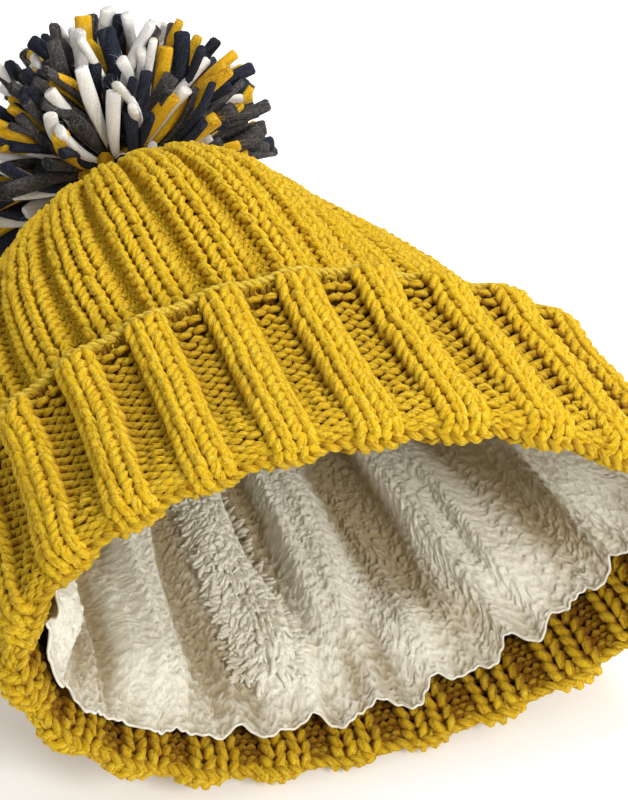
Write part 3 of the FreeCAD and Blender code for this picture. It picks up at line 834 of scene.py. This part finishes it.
def pile_heights():
    """Curly pile as heights from 0 to 1 on a grid: short ridges that turn from place to place."""
    random = np.random.default_rng(31)
    across = np.fft.rfftfreq(PILE_AROUND, AROUND_ARCS[-1] * 0.9 / MM / PILE_AROUND)[None]
    up = np.fft.fftfreq(PILE_ROWS, (LINING_END - LINING_START) / MM / PILE_ROWS)[:, None]
    fineness, direction = np.hypot(across, up), np.arctan2(up, across)
    band = np.exp(-((fineness - 1 / PILE_PITCH) / 0.26) ** 2)
    clumps = np.fft.irfft2(np.fft.rfft2(random.normal(0, 1, (PILE_ROWS, PILE_AROUND)))
                           * np.exp(-((fineness - 1 / PILE_CLUMP) / 0.1) ** 2), (PILE_ROWS, PILE_AROUND))
    patch_band = np.exp(-(fineness * 5) ** 2)
    shape = (PILE_ROWS, PILE_AROUND)
    total, weights = np.zeros(shape), np.zeros(shape)
    for number in range(4):
        aligned = np.abs(np.cos(direction - number * math.pi / 4)) ** 1.6
        ridges = np.fft.irfft2(np.fft.rfft2(random.normal(0, 1, shape)) * band * aligned, shape)
        patches = np.fft.irfft2(np.fft.rfft2(random.normal(0, 1, shape)) * patch_band, shape)
        weight = np.exp(1.5 * patches / patches.std())
        total += weight * ridges / ridges.std()
        weights += weight
    return smooth(0.5 + 0.24 * total / weights + 0.16 * clumps / clumps.std())


def ridge_tufts():
    """Longer pile that stands up along the lower seam."""
    random = np.random.default_rng(37)
    off = random.uniform(-0.028, 0.005, TUFTS)
    share = SEAM_SHARE + off
    along = random.uniform(28 * MM, LINING_END, TUFTS)
    travel = np.linspace(0, 1, 6)
    fan = math.pi / 2 + 1.15 * np.clip((off + 0.010) / 0.014, -1, 1) + random.normal(0, 0.4, TUFTS)
    heading = fan[:, None] + random.normal(0, 0.7, TUFTS)[:, None] * travel
    stride = random.uniform(4.0, 7.5, TUFTS)[:, None] / 5 * MM
    places = share[:, None] - np.cumsum(np.cos(heading) * stride, axis=1) / AROUND_ARCS[-1]
    lengths = along[:, None] - np.cumsum(np.sin(heading) * stride, axis=1)
    rise = PILE_HEIGHT * (0.3 + 0.7 * travel) * random.uniform(0.7, 2.4, TUFTS)[:, None]
    points = lining_point(places, lengths, rise)
    outs = unit(lining_point(places, lengths, rise + 1 * MM) - points)
    radii = random.uniform(0.75, 1.2, TUFTS)[:, None] * np.array([0.5, 0.9, 1.0, 0.95, 0.75, 0.35]) * MM
    # Relief for the painted shade: the tufts are darker at their roots and lighter towards their tips.
    height = lining_relief(places, lengths) / MM - 0.5 + 3.5 * travel
    return strands("lining_tufts", points, outs, radii, 6, relief=height)


def lining_piece(name, piece, nodes):
    """Names a piece of the lining, gives it the fleece, attaches it to the hat and hides the CAD nodes that it
    stands for.
    """
    piece.name = name
    piece.data.materials.append(FLEECE)
    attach(piece, "hat")
    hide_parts(*nodes)


def make_lining():
    share, level = np.meshgrid(np.arange(PILE_AROUND) / PILE_AROUND, np.linspace(0, 1, PILE_ROWS))
    along = ragged_start(share) * (1 - level) + LINING_END * level
    pile = pile_heights()
    # Relief for the painted shade: folds and pile, and darker further inside the hat.
    relief = lining_relief(share, along) / MM + PILE_SHADE * (pile - 0.6)
    relief = relief - DEPTH_SHADE * smooth((along - 50 * MM) / (110 * MM))
    points = lining_point(share, along, PILE_HEIGHT * pile)
    width = PILE_AROUND // len(PANELS)
    for number, (panel, nodes) in enumerate(PANELS.items()):
        first = round(SEAM_SHARE * PILE_AROUND) + number * width
        columns = np.mod(first + np.arange(width + 1), PILE_AROUND)
        surface = grid(panel, points[:, columns], relief[:, columns].reshape(-1), closed_around=False)
        lining_piece(panel, surface, nodes)
    rim = np.arange(1760) / 1760
    edge = lining_point(rim, ragged_start(rim), 0.4 * MM)
    edge_out = unit(lining_point(rim, ragged_start(rim), 1.4 * MM) - edge)
    bead = strands("lining_edge", edge[None], edge_out[None], np.full((1, len(rim)), 0.5 * MM), 6, True,
                   relief=np.full(len(rim), PILE_SHADE_RANGE[1]))
    lining_piece("fleece_edge", bead, ["fleece_hem_stitching"])
    lining_piece("fleece_seam_pile", ridge_tufts(), ["fleece_seam_left_bottom"])


# --- the pom pom ----------------------------------------------------------------------------------

POM_CENTRE = Vector((-6.5 * MM, 86.5 * MM, 65.5 * MM))
POM_RADIUS = 63 * MM
POM_STRANDS = 800
POM_KINDS = ("charcoal", "navy", "white", "mustard", "charcoal", "charcoal", "white", "mustard", "navy")
# Angles from the pom pom's axis: full strands grow up to the first, and short ones up to the second.
POM_OPEN = math.radians(108)
POM_UNDER = math.radians(128)
# Short strands stay above a cone round the crown's top, so that the pom pom can tilt.
POM_LIFT = 23 * MM
POM_TILT = 0.68
# A strand: steps along it, thickness across its flat side, half widths, and how much its length varies
STRAND_STEPS = 14
STRAND_START = 6 * MM
POM_FLAT = 0.66
STRAND_WIDTHS = (2.2 * MM, 3.3 * MM)
STRAND_LENGTHS = (0.83, 1.03)
STRAND_LEAN = 0.10
STRAND_CURL = 0.06
NARROW_PART = 0.34
CROWN_LOSS = 0.34
# Fine fibres that stand out of each strand
FIBRES = 17
FIBRE_LENGTHS = (1.2 * MM, 3.6 * MM)
FIBRE_RADII = (0.05 * MM, 0.10 * MM)


def pom_directions(random, start, end):
    """Directions spread evenly over the pom pom, between two angles from its axis."""
    golden = math.pi * (3 - math.sqrt(5))
    found = []
    for number in range(POM_STRANDS):
        outward = 1 - (2 * number + 1) / POM_STRANDS
        if outward > math.cos(start):
            continue
        if outward < math.cos(end):
            break
        spread = math.sqrt(1 - outward * outward)
        turn = number * golden
        direction = np.array([spread * math.cos(turn), outward, spread * math.sin(turn)])
        found.append(unit(direction + random.normal(0, 0.06, 3)))
    return found


def pom_strand(direction, random):
    """Line, flat side and half widths of one strand of the pom pom, from its middle to its cut end."""
    travel = np.linspace(0, 1, STRAND_STEPS)
    side = unit(np.cross(direction, random.normal(0, 1, 3)))
    other = np.cross(direction, side)
    near_crown = smooth((math.degrees(math.acos(direction[1])) - 86) / 26)
    longest = POM_RADIUS * (1 - CROWN_LOSS * near_crown)
    if direction[1] < math.cos(POM_OPEN):
        sideways = math.sqrt(1 - direction[1] ** 2)
        longest = min(longest, POM_LIFT / (POM_TILT * sideways - direction[1]))
    reach = longest * random.uniform(*STRAND_LENGTHS)
    lean = random.normal(0, STRAND_LEAN, 2) * reach
    curl = random.normal(0, STRAND_CURL, 2) * reach
    distance = STRAND_START + (reach - STRAND_START) * travel
    offsets = lean[:, None] * travel ** 2 + curl[:, None] * np.sin(math.pi * travel)
    path = np.array(POM_CENTRE) + distance[:, None] * direction + offsets[0][:, None] * side \
        + offsets[1][:, None] * other
    width = random.uniform(*STRAND_WIDTHS)
    lumps = 1 + 0.08 * np.sin(travel * random.uniform(5, 12) + random.uniform(0, TURN))
    radius = width * (NARROW_PART + (1 - NARROW_PART) * smooth(travel / 0.75)) * lumps
    radius[-1] *= random.uniform(0.70, 0.85)
    path[-1] = path[-2] + (path[-1] - path[-2]) * 0.16
    return path, np.broadcast_to(side, path.shape), radius


def make_pom():
    random = np.random.default_rng(43)
    below = np.random.default_rng(53)
    lines = [pom_strand(direction, random) for direction in pom_directions(random, 0.0, POM_OPEN)]
    lines += [pom_strand(direction, below) for direction in pom_directions(below, POM_OPEN, POM_UNDER)]
    paths, outs, radii = (np.stack(values) for values in zip(*lines))
    kinds = random.integers(0, len(POM_KINDS), len(paths))
    finishes = {"charcoal": (CHARCOAL, "charcoal_yarn"), "white": (WHITE, "white_yarn"),
                "navy": (NAVY, "navy_yarn"), "mustard": (POM_MUSTARD, "mustard_yarn")}
    for kind, (material, slot_name) in finishes.items():
        chosen = np.array([number for number, place in enumerate(kinds) if POM_KINDS[place] == kind])
        body = strands("pom_body_" + kind, paths[chosen], outs[chosen], radii[chosen], 10, flat=POM_FLAT)
        body.data.materials.append(material)
        fuzz = pom_fuzz("pom_fuzz_" + kind, paths[chosen], radii[chosen] * POM_FLAT, random)
        fuzz.data.materials.append(material)
        piece = joined("pom_strands_" + kind, [body, fuzz])
        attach(piece, "pom_pom")
        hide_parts("pom_locks_" + kind)


def pom_fuzz(name, paths, radii, random):
    """Fine fibres that stand out of the strands, many of them at the cut ends."""
    count = len(paths) * FIBRES
    strand = np.repeat(np.arange(len(paths)), FIBRES)
    at_end = random.uniform(0, 1, count) < 0.45
    step = np.where(at_end, paths.shape[1] - 2, random.integers(5, paths.shape[1] - 2, count))
    centre = paths[strand, step]
    axis = unit(paths[strand, step] - paths[strand, step - 1])
    radial = random.normal(0, 1, (count, 3))
    radial = unit(radial - (radial * axis).sum(1, keepdims=True) * axis)
    length = random.uniform(*FIBRE_LENGTHS, count)
    base = centre + radial * (radii[strand, step] * random.uniform(0.2, 0.95, count))[:, None]
    forward = np.where(at_end, 1.0, 0.75)
    heading = unit(axis * forward[:, None] + radial * random.uniform(0.15, 0.8, count)[:, None])
    curl = random.normal(0, 0.35, (count, 3))
    shape = np.array([1.0, 0.9, 0.65, 0.2])
    travel = np.linspace(0, 1, len(shape))
    points = base[:, None] + (heading[:, None] * travel[:, None] + curl[:, None] * (travel ** 2)[:, None]) \
        * length[:, None, None]
    outs = np.broadcast_to(unit(np.cross(heading, axis + 0.3))[:, None], points.shape)
    radius = random.uniform(*FIBRE_RADII, count)[:, None] * shape
    return strands(name, points, outs, radius, 3)


# --- small pieces in the pom pom and inside the crown ---------------------------------------------

def wound(node, body, material, yarn, turns, rounded):
    """Yarn wound round an upright axis so that it fills the box of a CAD node."""
    low, high = (np.array(corner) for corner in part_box(node))
    middle, half = 0.5 * (low + high), 0.5 * (high - low)
    travel = np.linspace(0, 1, turns * 14 + 1)
    level = 2 * travel - 1
    swell = np.sqrt(np.maximum(1 - level ** 2, 0.02)) if rounded else np.ones_like(level)
    angle = TURN * turns * travel
    reach = np.maximum(half - yarn, 0.3 * MM)
    ring = np.stack([reach[0] * swell * np.cos(angle), reach[1] * level, reach[2] * swell * np.sin(angle)], -1)
    outs = unit(ring * np.array([1, 0.2, 1]) + 1e-9)
    piece = strands("yarn_" + node, (middle + ring)[None], outs[None], np.full((1, len(travel)), yarn), 8)
    piece.data.materials.append(material)
    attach(piece, body)
    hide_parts(node)


SEAM_YARN = 0.9 * MM
SEAM_WIDTH = 2.2 * MM
SEAM_RISE = 1.6 * MM


def seam_stitches(node, start, end, out, stitches):
    """Overcast stitches along the seam at the left-hand side."""
    steps = stitches * STITCH_STEPS
    travel = np.linspace(0, 1, steps)
    angle = TURN * stitches * travel
    share = SEAM_WIDTH / AROUND_ARCS[-1] * np.sin(angle)
    lift = SEAM_RISE * np.cos(angle)
    along = start + (end - start) * travel
    points = hat_point(share, along, out + lift)
    outs = unit(hat_point(share, along, out + lift + 1 * MM) - points)
    piece = strands("yarn_" + node, points[None], outs[None], np.full((1, steps), SEAM_YARN))
    piece.data.materials.append(MUSTARD)
    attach(piece, "hat")
    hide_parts(node)


def make_small_pieces():
    wound("pom_core", "pom_pom", CHARCOAL, 1.6 * MM, 9, True)
    wound("pom_waist_tie", "pom_pom", CHARCOAL, 1.0 * MM, 3, False)
    wound("pom_tether", "tether", MUSTARD, 0.9 * MM, 8, False)
    wound("pom_base_knot", "base_knot", MUSTARD, 0.9 * MM, 5, True)
    wound("pom_anchor_knot", "hat", MUSTARD, 0.9 * MM, 5, True)
    wound("crown_gather_yarn", "hat", MUSTARD, 1.0 * MM, 2, False)
    wound("fleece_crown_tack", "hat", THREAD, 0.6 * MM, 4, False)
    seam_stitches("crown_seam", CUFF_DEPTH + 2 * MM, SHOULDER + 0.8 * DOME_ARCS[-1], -6.5 * MM, 26)
    seam_stitches("cuff_seam", 8 * MM, CUFF_DEPTH - 4 * MM, 1.0 * MM, 15)


# --- the scene ------------------------------------------------------------------------------------

def make_floor():
    bpy.ops.mesh.primitive_plane_add(size=6, location=(0, 0, 0))
    floor = bpy.context.object
    floor.name = "floor"
    nodes = Nodes("white_floor")
    nodes.shader.inputs["Emission Color"].default_value = (1, 1, 1, 1)
    nodes.shader.inputs["Emission Strength"].default_value = 0.14
    floor.data.materials.append(nodes.finish(colour(250, 250, 250), 0.9, 0.0))


def make_light(name, place, target, size, power):
    data = bpy.data.lights.new(name, "AREA")
    data.shape = "DISK"
    data.size = size
    data.energy = power
    lamp = bpy.data.objects.new(name, data)
    lamp.location = place
    lamp.rotation_euler = (Vector(target) - Vector(place)).to_track_quat("-Z", "Y").to_euler()
    bpy.context.scene.collection.objects.link(lamp)


def make_camera():
    distance = 0.9
    azimuth = math.radians(-19.3)
    elevation = math.radians(41.0)
    target = Vector((0.0195, -0.0467, 0.060))
    away = Vector((math.sin(azimuth) * math.cos(elevation), -math.cos(azimuth) * math.cos(elevation),
                   math.sin(elevation)))
    data = bpy.data.cameras.new("camera")
    data.sensor_fit = "HORIZONTAL"
    data.sensor_width = 36
    data.lens = 154.8
    camera = bpy.data.objects.new("camera", data)
    camera.location = target + away * distance
    camera.rotation_euler = (-away).to_track_quat("-Z", "Y").to_euler()
    bpy.context.scene.collection.objects.link(camera)
    bpy.context.scene.camera = camera


def make_world():
    world = bpy.data.worlds.new("studio")
    world.use_nodes = True
    world.node_tree.nodes["Background"].inputs["Color"].default_value = (1, 1, 1, 1)
    world.node_tree.nodes["Background"].inputs["Strength"].default_value = 0.6
    bpy.context.scene.world = world
    bpy.context.scene.view_settings.view_transform = "Standard"


make_camera()
make_world()
make_floor()
make_light("key", (0.55, 0.15, 1.15), (0, 0, 0.05), 0.5, 10)
make_light("fill", (0.42, -1.15, 0.85), (0, -0.05, 0.05), 0.5, 11.5)

make_crown()
make_cuff()
twisted_ring("rim_braid", "rim_chain", (OUTER_RUN + 0.6 * FOLD_RUN) / ROW, 1.5 * MM, RIB_DEPTH * 0.42,
             1.3 * MM, 1.0 * MM, RIBS * 3, KNIT)
twisted_ring("cuff_top_edge", "cuff_edge_yarn", 0.05, 0.5 * MM, RIB_DEPTH * 0.3, 0.95 * MM, 0.6 * MM,
             RIBS * 5, PALE)
make_lining()
make_pom()
make_small_pieces()
